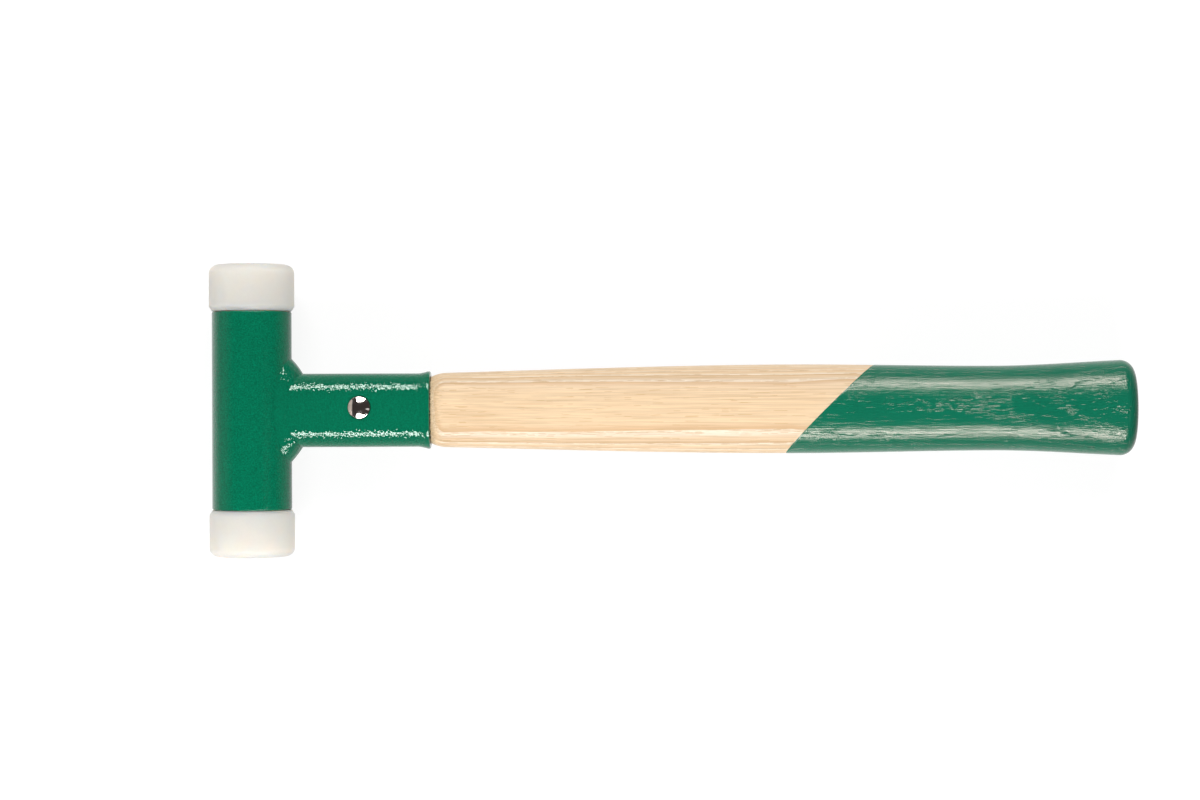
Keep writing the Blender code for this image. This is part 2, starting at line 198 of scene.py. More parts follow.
# Heights on the wood and on the grip's enamel
ASH_PORE_DEPTH = 0.00003
ASH_FIBRE_HEIGHT = 0.00001
GRIP_PORE_DEPTH = 0.00007
GRIP_FIBRE_HEIGHT = 0.000036
GRIP_STREAK_HEIGHT = 0.000008

# Sheens: a polish is the roughness at the two ends of what it follows, and a blotch is the size of its noise
NICKEL_BLOTCH = (0.0015, 0.0015, 0.0015)
NICKEL_HAZE = (0.3, 0.8)
NICKEL_POLISH = (0.05, 0.16)
FACET_ROUGHNESS = 0.7
STEEL_BLOTCH = (0.001, 0.001, 0.001)
STEEL_SCUFFS = (0.3, 0.7)
STEEL_POLISH = (0.28, 0.5)
ASH_POLISH = (0.38, 0.44)
GRIP_PORE_LIP = (0.0, 0.2)
GRIP_POLISH = (0.17, 0.07)

# Strengths of the wood's tones
EARLY_WOOD_SHARE = 0.9
RING_EDGE_SHARE = 0.8
END_GRAIN_SHARE = 0.6
DARK_STREAKS = (0.3, 0.55)
DARK_STREAK_SHARE = 0.45
PALE_STREAKS = (0.4, 0.7)
STREAK_LIGHT = (0.97, 1.06)
FIBRE_LIGHT = (0.94, 1.06)
PORE_LIP = (0.0, 0.5)
PORE_SHARE = 0.8
GRIP_PORE_SHADE_SHARE = 0.3

# Colours: the nylon's painted shade is a share of its colour, at the tube and at the rim of the face
HEAD_GREEN = (0.0004, 0.153, 0.077, 1)
GRIP_GREEN = (0.002, 0.165, 0.090, 1)
# painted shade in the grip's pores
GRIP_PORE_PAINTED_SHADE = (0.002, 0.09, 0.05, 1)
NYLON_WHITE = (0.745, 0.728, 0.682, 1)
NYLON_PAINTED_SHADE = (0.87, 0.95)
NICKEL = (0.74, 0.69, 0.65, 1)
# painted reflection: the lighter, tan colour of the rivet's facet
NICKEL_FACET_PAINTED_REFLECTION = (0.95, 0.82, 0.74, 1)
# painted shade round the rim of the rivet's head
RIVET_RIM_PAINTED_SHADE = (0.03, 0.02, 0.015, 1)
BALL_STEEL = (0.50, 0.50, 0.51, 1)
LATE_WOODS = ((0.78, 0.575, 0.365, 1), (0.86, 0.65, 0.425, 1))
EARLY_WOOD = (0.91, 0.78, 0.62, 1)
RING_EDGE_BROWN = (0.66, 0.415, 0.215, 1)
END_GRAIN_TAN = (0.80, 0.59, 0.37, 1)
STREAK_BROWN = (0.70, 0.46, 0.25, 1)
PORE_BROWN = (0.60, 0.37, 0.15, 1)
# painted shadow in the gap at the socket's rim
JOINT_PAINTED_SHADOW = (0.06, 0.045, 0.03, 1)
FLOOR_GREY = (0.22, 0.22, 0.22, 1)
CEILING = (0.05, 0.042, 0.040, 1)
WHITE = (1, 1, 1, 1)

# Studio: the floor's stretches lie along X, and the wall's sides are the X of a direction
FLOOR_HALF = 3.0
FLOOR_GAP = 0.0002
FLOOR_GLOW = 0.85
FLOOR_BY_HEAD = (-0.18, -0.12)
FLOOR_BY_SOCKET = (-0.12, -0.08)
FLOOR_NEAR = (0.012, 0.11)
HEAD_GLOW = (0.84, 0.58)
HANDLE_GLOW = (0.5, 0.95)
GLOW_FALL = (1.0, 3.0)
WALL_SIDES = (-0.6, 0.6)
WALL_HEIGHT = (0.58, 0.24)
WALL_LIGHT = (0.42, 0.02)

# Fineness of the meshes
RING_POINTS = 144
TURN_STEPS = 160
LIP_STEPS = 5
FACE_EDGE_STEPS = 14
SOCKET_STEPS = 90
BELL_STEPS = 20
RIM_STEPS = 6
WELD_POINTS = 240
WELD_ROWS = 12
RIVET_POINTS = 72
DOME_STEPS = 50
SHOULDER_STEPS = 18
NECK_STEPS = 110
BELLY_STEPS = 60
WAIST_STEPS = 45
BUTT_STEPS = 16


def rest_matrix():
    """Where the hammer lies: from the two striking faces, and from the handle's direction at its butt."""
    mounts = {mount["name"]: mount for mount in frame["record"]["mounts"]}
    upper = Vector(mounts["striking_face_upper"]["pos_m"])
    lower = Vector(mounts["striking_face_lower"]["pos_m"])
    along_handle = Vector(mounts["butt_end"]["axis"]).normalized()
    along_head = (upper - lower).normalized()
    across = along_handle.cross(along_head)
    turn = Matrix((along_handle, along_head, across)).transposed().to_4x4()
    return Matrix.Translation((upper + lower) / 2) @ turn


REST = rest_matrix()


# Mesh tools


def new_piece(name, bm, cad_node, material_slot, *materials, crease=40):
    """A finished piece that rides on the hammer and stands for one node; material_slot is not used."""
    mesh = bpy.data.meshes.new(name)
    bmesh.ops.recalc_face_normals(bm, faces=bm.faces)
    bm.to_mesh(mesh)
    bm.free()
    mesh.shade_smooth()
    mesh.set_sharp_from_angle(angle=math.radians(crease))
    for material in materials:
        mesh.materials.append(material)
    piece = bpy.data.objects.new(name, mesh)
    bpy.context.scene.collection.objects.link(piece)
    piece.matrix_world = REST
    bpy.context.view_layer.update()
    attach(piece, "hammer")
    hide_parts(cad_node)
    return piece


def skin(rings, joined=False):
    """Quads over rings of points: the first and last ring are joined to each other, or closed."""
    bm = bmesh.new()
    rows = [[bm.verts.new(point) for point in ring] for ring in rings]
    pairs = list(zip(rows, rows[1:]))
    if joined:
        pairs.append((rows[-1], rows[0]))
    for first, second in pairs:
        for i in range(len(first)):
            bm.faces.new((first[i - 1], first[i], second[i], second[i - 1]))
    if not joined:
        bm.faces.new(rows[0])
        bm.faces.new(rows[-1])
    return bm


def arc(centre, radius, start, end, steps):
    """Points of a round corner, by angle in degrees from the first axis."""
    angles = [math.radians(start + (end - start) * i / steps) for i in range(steps + 1)]
    return [(centre[0] + radius * math.cos(a), centre[1] + radius * math.sin(a)) for a in angles]


def turn_about_head(profile, side=1):
    """Rings about the head's axis from (radius, distance along the head) points."""
    angles = [2 * math.pi * i / TURN_STEPS for i in range(TURN_STEPS)]
    rings = []
    for radius, along in profile:
        rings.append([Vector((radius * math.cos(a), side * along, radius * math.sin(a))) for a in angles])
    return rings


def oval(x, width, thickness, squareness, points=RING_POINTS):
    """A ring round the handle's axis: squareness 2 is an ellipse, and more is squarer."""
    ring = []
    for i in range(points):
        angle = 2 * math.pi * i / points
        y = math.copysign(abs(math.cos(angle)) ** (2 / squareness), math.cos(angle))
        z = math.copysign(abs(math.sin(angle)) ** (2 / squareness), math.sin(angle))
        ring.append(Vector((x, width / 2 * y, thickness / 2 * z)))
    return ring


def eased(share, start_slope=0.0, end_slope=0.0):
    """A cubic rise from 0 to 1, with the slopes given at its two ends."""
    rise = 3 * share ** 2 - 2 * share ** 3
    early = share ** 3 - 2 * share ** 2 + share
    late = share ** 3 - share ** 2
    return rise + start_slope * early + end_slope * late


def wobble(point, cells, height, shift=(0, 0, 0)):
    """A random swing either way, by a height, with this many cells a metre."""
    return noise.noise(point * cells + Vector(shift)) * height


# Node tools


def put(tree, socket, value):
    """Sets an input to a value, or links it to another node's output."""
    if isinstance(value, bpy.types.NodeSocket):
        tree.links.new(value, socket)
    else:
        socket.default_value = value


def node(tree, kind, inputs=None, **settings):
    """Adds a node: settings are its own properties, and inputs go by their name or number."""
    made = tree.nodes.new(kind)
    for name, value in settings.items():
        setattr(made, name, value)
    for name, value in (inputs or {}).items():
        put(tree, made.inputs[name], value)
    return made


def maths(tree, operation, first, second=0.0, third=0.0):
    """One step of arithmetic."""
    return node(tree, "ShaderNodeMath", {0: first, 1: second, 2: third}, operation=operation).outputs[0]


def vectors(tree, operation, first, second):
    """One step of arithmetic with two vectors."""
    return node(tree, "ShaderNodeVectorMath", {0: first, 1: second}, operation=operation).outputs[0]


def hypotenuse(tree, first, second):
    """How far two offsets at right angles reach together."""
    squares = maths(tree, "ADD", maths(tree, "POWER", first, 2.0), maths(tree, "POWER", second, 2.0))
    return maths(tree, "SQRT", squares)


def own_place(tree):
    """The place on an object, in metres of its own frame."""
    return node(tree, "ShaderNodeTexCoord").outputs["Object"]


def axes(tree, vector):
    """The X, Y and Z of a vector."""
    return node(tree, "ShaderNodeSeparateXYZ", {0: vector}).outputs


def step_between(tree, value, low, high):
    """A mask that rises smoothly from 0 at low to 1 at high."""
    made = node(
        tree, "ShaderNodeMapRange", {"Value": value, "From Min": low, "From Max": high},
        interpolation_type="SMOOTHSTEP",
    )
    return made.outputs["Result"]


def scaled(tree, value, source, target):
    """Carries a range of values over to another, and holds its ends beyond them."""
    ends = {"From Min": source[0], "From Max": source[1], "To Min": target[0], "To Max": target[1]}
    return node(tree, "ShaderNodeMapRange", {"Value": value, **ends}).outputs["Result"]


def mix_colours(tree, share, first, second):
    """The first colour where the share is 0, and the second where it is 1."""
    made = node(tree, "ShaderNodeMix", {0: share}, data_type="RGBA")
    put(tree, made.inputs[6], first)
    put(tree, made.inputs[7], second)
    return made.outputs[2]


def lightened(tree, colour, light):
    """A colour times a light."""
    return node(tree, "ShaderNodeVectorMath", {0: colour, "Scale": light}, operation="SCALE").outputs[0]


def stretched_noise(tree, coords, sizes, detail=2.0, roughness=0.5):
    """Noise whose blotches have these sizes along X, Y and Z, in metres."""
    scale = [1 / size for size in sizes]
    mapped = node(tree, "ShaderNodeMapping", {"Vector": coords, "Scale": scale})
    made = node(
        tree, "ShaderNodeTexNoise",
        {"Vector": mapped.outputs[0], "Scale": 1.0, "Detail": detail, "Roughness": roughness},
    )
    return made.outputs["Fac"]


def new_group(name, inputs, outputs):
    """An empty node group: its inputs go by name, kind and default, and its outputs by name and kind."""
    group = bpy.data.node_groups.new(name, "ShaderNodeTree")
    for label, (kind, default) in inputs.items():
        socket = group.interface.new_socket(label, in_out="INPUT", socket_type=kind)
        socket.default_value = default
    for label, kind in outputs.items():
        group.interface.new_socket(label, in_out="OUTPUT", socket_type=kind)
    entry = group.nodes.new("NodeGroupInput")
    exit_node = group.nodes.new("NodeGroupOutput")
    return group, entry.outputs, exit_node.inputs


def place_group(tree, group, **values):
    """Puts a group into a material: underscores in the names stand for spaces."""
    made = tree.nodes.new("ShaderNodeGroup")
    made.node_tree = group
    for name, value in values.items():
        put(tree, made.inputs[name.replace("_", " ")], value)
    return made.outputs


FLOAT = "NodeSocketFloat"
COLOUR = "NodeSocketColor"


# Effects that several finishes share


def make_tone_drift():
    """A colour that drifts slowly lighter and darker over the surface, with fine mottling on top."""
    tree, given, result = new_group(
        "tone drift",
        {
            "Colour": (COLOUR, (0.5, 0.5, 0.5, 1)),
            "Patch Size": (FLOAT, 0.02),
            "Patch Amount": (FLOAT, 0.05),
            "Mottle Size": (FLOAT, 0.0008),
            "Mottle Amount": (FLOAT, 0.05),
        },
        {"Colour": COLOUR},
    )
    coords = own_place(tree)
    light = 1.0
    for size, amount in (("Patch Size", "Patch Amount"), ("Mottle Size", "Mottle Amount")):
        scale = maths(tree, "DIVIDE", 1.0, given[size])
        blotch = node(tree, "ShaderNodeTexNoise", {"Vector": coords, "Scale": scale, "Detail": 2.0})
        centred = maths(tree, "SUBTRACT", blotch.outputs["Fac"], 0.5)
        swing = maths(tree, "MULTIPLY", centred, given[amount])
        light = maths(tree, "MULTIPLY_ADD", swing, 2.0, light)
    tree.links.new(lightened(tree, given["Colour"], light), result["Colour"])
    return tree


def make_orange_peel():
    """The wavy skin of thick sprayed enamel: a height in metres, from waves and a finer stipple."""
    tree, given, result = new_group(
        "orange peel",
        {
            "Wave Size": (FLOAT, 0.0012),
            "Depth": (FLOAT, 0.00004),
            "Stipple": (FLOAT, 0.2),
            "Run Along Head": (FLOAT, 1.0),
        },
        {"Height": FLOAT},
    )
    stipple_fineness = 3.1
    spot = axes(tree, own_place(tree))
    run = maths(tree, "DIVIDE", spot["Y"], given["Run Along Head"])
    coords = node(tree, "ShaderNodeCombineXYZ", {"X": spot["X"], "Y": run, "Z": spot["Z"]}).outputs[0]
    scale = maths(tree, "DIVIDE", 1.0, given["Wave Size"])
    waves = node(tree, "ShaderNodeTexNoise", {"Vector": coords, "Scale": scale, "Detail": 1.0})
    fine_scale = maths(tree, "MULTIPLY", scale, stipple_fineness)
    stipple = node(tree, "ShaderNodeTexNoise", {"Vector": coords, "Scale": fine_scale, "Detail": 1.0})
    fine = maths(tree, "MULTIPLY", stipple.outputs["Fac"], given["Stipple"])
    both = maths(tree, "ADD", waves.outputs["Fac"], fine)
    tree.links.new(maths(tree, "MULTIPLY", both, given["Depth"]), result["Height"])
    return tree


def ring_run(tree, along):
    """How far the rings lie below a straight run at a place along the handle."""
    taper = scaled(tree, along, (NECK_PLACE, BELLY_PLACE), (1.0, 0.0))
    taper = maths(tree, "MULTIPLY", maths(tree, "POWER", taper, TAPER_POWER), TAPER_RISE)
    grip = maths(tree, "MAXIMUM", maths(tree, "SUBTRACT", along, RUN_OUT_START), 0.0)
    return maths(tree, "MULTIPLY_ADD", grip, RUN_OUT, taper)


def ring_phase(tree, coords):
    """How far a point is through its growth ring, from 0 at the ring's start to 1, and the ring's number."""
    spot = axes(tree, coords)
    across = maths(tree, "SUBTRACT", spot["Y"], RING_CENTRE[0])
    above = maths(tree, "SUBTRACT", spot["Z"], RING_CENTRE[1])
    radius = maths(tree, "ADD", hypotenuse(tree, across, above), ring_run(tree, spot["X"]))
    wander = stretched_noise(tree, coords, RING_WANDER_SIZE, detail=3.0)
    radius = maths(tree, "MULTIPLY_ADD", maths(tree, "SUBTRACT", wander, 0.5), RING_WANDER, radius)
    depth = maths(tree, "SUBTRACT", RING_TOP, radius)
    broad = maths(tree, "MINIMUM", maths(tree, "MAXIMUM", depth, 0.0), BROAD_RING)
    pace = scaled(tree, spot["Y"], RING_WIDTH_SPAN, (1 / RING_WIDTH_LOWER, 1 / RING_WIDTH_UPPER))
    narrow = maths(tree, "MULTIPLY", maths(tree, "SUBTRACT", depth, broad), pace)
    turns = maths(tree, "ADD", maths(tree, "DIVIDE", broad, BROAD_RING), narrow)
    return maths(tree, "FRACT", turns), maths(tree, "FLOOR", turns)


def long_cells(tree, coords, size):
    """Random cells of one length along the handle and one width across it."""
    length, width = size
    mapped = node(tree, "ShaderNodeMapping", {"Vector": coords, "Scale": (1 / length, 1 / width, 1 / width)})
    cells = node(tree, "ShaderNodeTexVoronoi", {"Vector": mapped.outputs[0], "Scale": 1.0}).outputs
    offset = vectors(tree, "SUBTRACT", mapped.outputs[0], cells["Position"])
    chance = node(tree, "ShaderNodeSeparateColor", {0: cells["Color"]}).outputs[0]
    middle = node(tree, "ShaderNodeMapping", {"Vector": cells["Position"], "Scale": (length, width, width)})
    return offset, chance, middle.outputs[0]


def across_cell(tree, offset):
    """Distance from a long cell's middle line, in cell widths."""
    flat = vectors(tree, "MULTIPLY", offset, (0.0, 1.0, 1.0))
    return node(tree, "ShaderNodeVectorMath", {0: flat}, operation="LENGTH").outputs["Value"]


def pore_dashes(tree, coords, size, early_share, late_share):
    """Open vessels with straight sloping sides: 1 down the middle of a dash, and 0 outside it.

    A dash is there or not as a whole: its chance is the early wood's share where its middle lies.
    """
    offset, chance, middle = long_cells(tree, coords, size)
    phase, _ = ring_phase(tree, middle)
    share = scaled(tree, phase, PORE_BAND, (early_share, late_share))
    chosen = maths(tree, "GREATER_THAN", share, chance)
    along = maths(tree, "ABSOLUTE", axes(tree, offset)["X"])
    ends = scaled(tree, along, PORE_ENDS, (1.0, 0.0))
    sides = scaled(tree, across_cell(tree, offset), PORE_SIDES, (1.0, 0.0))
    return maths(tree, "MULTIPLY", chosen, maths(tree, "MULTIPLY", ends, sides))


def make_ash_grain():
    """Growth rings about a centre below the handle, with open pores that crowd into their first wood."""
    tree, given, result = new_group(
        "ash grain",
        {"Early Pores": (FLOAT, 0.7), "Late Pores": (FLOAT, 0.15)},
        {
            "Early Wood": FLOAT, "Ring Edge": FLOAT, "Pores": FLOAT, "Streaks": FLOAT, "Band": FLOAT,
            "Fibre Ridges": FLOAT, "Fibre Tone": FLOAT,
        },
    )
    coords = own_place(tree)
    phase, ring_number = ring_phase(tree, coords)
    edge_rise = step_between(tree, phase, *EDGE_BAND)
    edge_fall = step_between(tree, phase, 1.0, EDGE_BAND[1])
    band = node(tree, "ShaderNodeTexWhiteNoise", {"W": ring_number}, noise_dimensions="1D")
    shares = (given["Early Pores"], given["Late Pores"])
    long_pores = pore_dashes(tree, coords, LONG_PORE, *shares)
    short_pores = pore_dashes(tree, coords, SHORT_PORE, *shares)
    offset, tone, _ = long_cells(tree, coords, FIBRE)
    from_ridge = maths(tree, "POWER", across_cell(tree, offset), 2.0)
    for name, value in (
        ("Early Wood", scaled(tree, phase, EARLY_BAND, (1.0, 0.0))),
        ("Ring Edge", maths(tree, "MULTIPLY", edge_rise, edge_fall)),
        ("Pores", maths(tree, "MAXIMUM", long_pores, short_pores)),
        ("Streaks", stretched_noise(tree, coords, STREAK, detail=2.0, roughness=0.6)),
        ("Band", band.outputs["Value"]),
        ("Fibre Ridges", maths(tree, "SUBTRACT", 1.0, from_ridge)),
        ("Fibre Tone", tone),
    ):
        tree.links.new(value, result[name])
    return tree


TONE_DRIFT = make_tone_drift()
ORANGE_PEEL = make_orange_peel()
ASH_GRAIN = make_ash_grain()


# Finishes


def new_finish(name, **values):
    """A material with one Principled shader: underscores in the names stand for spaces."""
    material = bpy.data.materials.new(name)
    material.use_nodes = True
    tree = material.node_tree
    shader = tree.nodes["Principled BSDF"]
    for label, value in values.items():
        shader.inputs[label.replace("_", " ")].default_value = value
    return material, tree, shader


def bump_from(tree, shader, height):
    """Height is in metres, so the bump's distance and strength stay at 1."""
    bump = node(tree, "ShaderNodeBump", {"Height": height, "Distance": 1.0, "Strength": 1.0})
    tree.links.new(bump.outputs[0], shader.inputs["Normal"])


def make_head_enamel(name, wave_size, depth, stipple, run, mottle, **gloss):
    """Green enamel, sprayed thick: glossy, with an orange-peel skin."""
    material, tree, shader = new_finish(name, Roughness=0.05, IOR=1.5, **gloss)
    drift = place_group(
        tree, TONE_DRIFT, Colour=HEAD_GREEN, Patch_Size=0.03, Patch_Amount=0.05, Mottle_Size=0.0005,
        Mottle_Amount=mottle,
    )
    tree.links.new(drift["Colour"], shader.inputs["Base Color"])
    peel = place_group(
        tree, ORANGE_PEEL, Wave_Size=wave_size, Depth=depth, Stipple=stipple, Run_Along_Head=run
    )
    bump_from(tree, shader, peel["Height"])
    return material


def make_nylon():
    """Milky nylon: light sinks in and comes out some millimetres away, and its colour is painted darker next
    to the tube as painted shade.
    """
    material, tree, shader = new_finish(
        "milky_nylon", Roughness=0.42, Subsurface_Weight=1.0, Subsurface_Scale=0.014,
        Subsurface_Radius=(1.0, 0.8, 0.6), Specular_IOR_Level=0.25, IOR=1.53,
        Sheen_Weight=0.7, Sheen_Roughness=0.6, Sheen_Tint=(1.0, 0.96, 0.88, 1),
    )
    drift = place_group(
        tree, TONE_DRIFT, Colour=NYLON_WHITE, Patch_Size=0.009, Patch_Amount=0.03, Mottle_Size=0.0009,
        Mottle_Amount=0.02,
    )
    along = maths(tree, "ABSOLUTE", axes(tree, own_place(tree))["Y"])
    # painted shade: the nylon's colour is made darker next to the tube
    light = scaled(tree, along, (TUBE_END, FACE_END - FACE_EDGE_RADIUS), NYLON_PAINTED_SHADE)
    tree.links.new(lightened(tree, drift["Colour"], light), shader.inputs["Base Color"])
    peel = place_group(tree, ORANGE_PEEL, Wave_Size=0.0011, Depth=0.00001, Stipple=0.5)
    bump_from(tree, shader, peel["Height"])
    return material


def make_nickel():
    """Polished nickel, with a dull facet on the left of the head whose lighter tan colour is a painted
    reflection, and painted shade as a dark line round its rim.
    """
    material, tree, shader = new_finish("polished_nickel", Metallic=1.0)
    drift = place_group(
        tree, TONE_DRIFT, Colour=NICKEL, Patch_Size=0.003, Patch_Amount=0.05, Mottle_Size=0.0004,
        Mottle_Amount=0.03,
    )
    coords = own_place(tree)
    spot = axes(tree, vectors(tree, "SUBTRACT", coords, (*RIVET_PLACE, 0.0)))
    facet = scaled(tree, spot["X"], RIVET_FACET, (1.0, 0.0))
    facet_ends = scaled(tree, maths(tree, "ABSOLUTE", spot["Y"]), RIVET_FACET_ENDS, (1.0, 0.0))
    facet = maths(tree, "MULTIPLY", facet, facet_ends)
    # painted shade: a dark ring at the rim of the head
    rim = scaled(tree, hypotenuse(tree, spot["X"], spot["Y"]), RIVET_RIM_SHADE_BAND, (0.0, 1.0))
    # painted reflection: the facet's colour is lighter and tan, while its roughness below is real
    colour = mix_colours(tree, facet, drift["Colour"], NICKEL_FACET_PAINTED_REFLECTION)
    colour = mix_colours(tree, rim, colour, RIVET_RIM_PAINTED_SHADE)
    tree.links.new(colour, shader.inputs["Base Color"])
    haze = stretched_noise(tree, coords, NICKEL_BLOTCH, detail=3.0)
    polish = scaled(tree, haze, NICKEL_HAZE, NICKEL_POLISH)
    dull = maths(tree, "MULTIPLY", facet, FACET_ROUGHNESS)
    tree.links.new(maths(tree, "MAXIMUM", polish, dull), shader.inputs["Roughness"])
    peel = place_group(tree, ORANGE_PEEL, Wave_Size=0.0012, Depth=0.000012, Stipple=0.1)
    bump_from(tree, shader, peel["Height"])
    return material


def make_shot_steel():
    """Plain steel, scuffed to a patchy shine."""
    material, tree, shader = new_finish("shot_steel", Metallic=1.0)
    drift = place_group(
        tree, TONE_DRIFT, Colour=BALL_STEEL, Patch_Size=0.004, Patch_Amount=0.15, Mottle_Size=0.0005,
        Mottle_Amount=0.1,
    )
    tree.links.new(drift["Colour"], shader.inputs["Base Color"])
    scuffs = stretched_noise(tree, own_place(tree), STEEL_BLOTCH, detail=4.0)
    tree.links.new(scaled(tree, scuffs, STEEL_SCUFFS, STEEL_POLISH), shader.inputs["Roughness"])
    return material


def ring_colours(tree, grain):
    """Late wood that differs from ring to ring, paler early wood, and a brown line at each ring's end."""
    colour = mix_colours(tree, grain["Band"], *LATE_WOODS)
    early = maths(tree, "MULTIPLY", grain["Early Wood"], EARLY_WOOD_SHARE)
    colour = mix_colours(tree, early, colour, EARLY_WOOD)
    edge = maths(tree, "MULTIPLY", grain["Ring Edge"], RING_EDGE_SHARE)
    return mix_colours(tree, edge, colour, RING_EDGE_BROWN)


def fibre_colours(tree, grain, colour):
    """Brown streaks, a light that changes from fibre to fibre, and dark pores, over the rings' colours."""
    streaks = scaled(tree, grain["Streaks"], DARK_STREAKS, (DARK_STREAK_SHARE, 0.0))
    colour = mix_colours(tree, streaks, colour, STREAK_BROWN)
    light = scaled(tree, grain["Streaks"], PALE_STREAKS, STREAK_LIGHT)
    light = maths(tree, "MULTIPLY", light, scaled(tree, grain["Fibre Tone"], (0.0, 1.0), FIBRE_LIGHT))
    pores = scaled(tree, grain["Pores"], PORE_LIP, (0.0, PORE_SHARE))
    return mix_colours(tree, pores, lightened(tree, colour, light), PORE_BROWN)


def joint_shadow_mask(tree, coords, along):
    """A mask of the painted shadow: a dark, ragged line where the wood comes out of the socket."""
    blotches = stretched_noise(tree, coords, JOINT_BLOTCH)
    ragged = scaled(tree, blotches, JOINT_BLOTCH_SPAN, (-JOINT_RAGGED, JOINT_RAGGED))
    from_rim = maths(tree, "ADD", maths(tree, "SUBTRACT", along, SOCKET_REACH), ragged)
    return scaled(tree, from_rim, JOINT_SHADOW_WIDTH, (1.0, 0.0))


def make_lacquered_ash():
    """Pale ash under thin clear lacquer."""
    material, tree, shader = new_finish("lacquered_ash", Specular_IOR_Level=0.3, IOR=1.5)
    grain = place_group(tree, ASH_GRAIN, Early_Pores=0.6, Late_Pores=0.05)
    coords = own_place(tree)
    along = axes(tree, coords)["X"]
    end_grain = scaled(tree, along, END_GRAIN, (END_GRAIN_SHARE, 0.0))
    colour = mix_colours(tree, end_grain, ring_colours(tree, grain), END_GRAIN_TAN)
    colour = fibre_colours(tree, grain, colour)
    # painted shadow in the gap where the wood comes out of the socket
    colour = mix_colours(tree, joint_shadow_mask(tree, coords, along), colour, JOINT_PAINTED_SHADOW)
    tree.links.new(colour, shader.inputs["Base Color"])
    polish = scaled(tree, grain["Early Wood"], (0.0, 1.0), ASH_POLISH)
    tree.links.new(polish, shader.inputs["Roughness"])
    pits = maths(tree, "MULTIPLY", grain["Pores"], -ASH_PORE_DEPTH)
    bump_from(tree, shader, maths(tree, "MULTIPLY_ADD", grain["Fibre Ridges"], ASH_FIBRE_HEIGHT, pits))
    return material


def make_grip_enamel():
    """Green dipped over the grip, so thin that the ash's fibres and pores show: the pores are glossier, and
    painted darker as painted shade.
    """
    material, tree, shader = new_finish(
        "grip_enamel", Specular_IOR_Level=1.0, IOR=1.5, Specular_Tint=(1.0, 0.82, 0.76, 1)
    )
    grain = place_group(tree, ASH_GRAIN, Early_Pores=0.8, Late_Pores=0.06)
    drift = place_group(
        tree, TONE_DRIFT, Colour=GRIP_GREEN, Patch_Size=0.02, Patch_Amount=0.06, Mottle_Size=0.0007,
        Mottle_Amount=0.08,
    )
    # painted shade: the pores' grooves are painted darker green
    shade = maths(tree, "MULTIPLY", grain["Pores"], GRIP_PORE_SHADE_SHARE)
    colour = mix_colours(tree, shade, drift["Colour"], GRIP_PORE_PAINTED_SHADE)
    tree.links.new(colour, shader.inputs["Base Color"])
    polish = scaled(tree, grain["Pores"], GRIP_PORE_LIP, GRIP_POLISH)
    tree.links.new(polish, shader.inputs["Roughness"])
    height = maths(tree, "MULTIPLY", grain["Pores"], -GRIP_PORE_DEPTH)
    height = maths(tree, "MULTIPLY_ADD", grain["Fibre Ridges"], GRIP_FIBRE_HEIGHT, height)
    height = maths(tree, "MULTIPLY_ADD", grain["Streaks"], GRIP_STREAK_HEIGHT, height)
    peel = place_group(tree, ORANGE_PEEL, Wave_Size=0.0016, Depth=0.00002, Stipple=0.1)
    bump_from(tree, shader, maths(tree, "ADD", height, peel["Height"]))
    return material


# Pieces of the head


def make_head_tube(enamel):
    """The tube with its rounded lips, hollow for the spigots and the shot."""
    corner = arc((TUBE_RADIUS - TUBE_LIP, TUBE_END - TUBE_LIP), TUBE_LIP, 90, 0, LIP_STEPS)
    outside = corner + [(radius, -along) for radius, along in reversed(corner)]
    bore = SPIGOT_RADIUS + SPIGOT_CLEARANCE
    rings = turn_about_head(outside + [(bore, -TUBE_END), (bore, TUBE_END)])
    return new_piece("head_tube_enamelled", skin(rings, joined=True), "head_tube", "green_paint", enamel)


def face_profile():
    """(radius, distance along the head) points of a face, from the middle of its end to its spigot."""
    rim_centre = (FACE_RADIUS - FACE_EDGE_RADIUS, FACE_END - FACE_EDGE_RADIUS)
    profile = [(rim_centre[0] * share, FACE_END - FACE_CROWN * share ** 2) for share in FACE_FLAT_SHARES]
    for radius, along in arc(rim_centre, FACE_EDGE_RADIUS, 90, 0, FACE_EDGE_STEPS):
        up_the_edge = max(0.0, (along - rim_centre[1]) / FACE_EDGE_RADIUS)
        profile.append((radius, along - FACE_CROWN * up_the_edge))
    profile += [(FACE_RADIUS - inward, TUBE_END + HEEL_LENGTH + outward) for inward, outward in HEEL_EASE]
    foot = FACE_RADIUS - HEEL_DEPTH
    profile += [(foot - inward, TUBE_END + outward) for inward, outward in HEEL_FOOT_EASE]
    spigot_end = TUBE_END - SPIGOT_LENGTH
    profile += [
        (SPIGOT_RADIUS, TUBE_END + FACE_GAP),
        (SPIGOT_RADIUS, spigot_end + SPIGOT_CHAMFER),
        (SPIGOT_RADIUS - SPIGOT_CHAMFER, spigot_end),
    ]
    return profile


def make_nylon_face(name, cad_node, side, nylon):
    """A striking face with its rounded rim, its chamfered heel against the tube, and its spigot."""
    rings = turn_about_head(face_profile(), side)
    return new_piece(name, skin(rings), cad_node, "nylon", nylon, crease=30)


# Pieces of the socket


def socket_ring(x, out):
    """The socket's section at a place along it, grown by a distance all round."""
    return oval(x, SOCKET_WIDTH + 2 * out, SOCKET_THICKNESS + 2 * out, SOCKET_SQUARENESS)


def bell(share):
    """How far the mouth has flared: it opens faster and faster, up to a short straight lip."""
    flare_length = SOCKET_BELL_LENGTH - SOCKET_LIP_LENGTH
    return SOCKET_BELL * min(1.0, share * SOCKET_BELL_LENGTH / flare_length) ** SOCKET_BELL_POWER


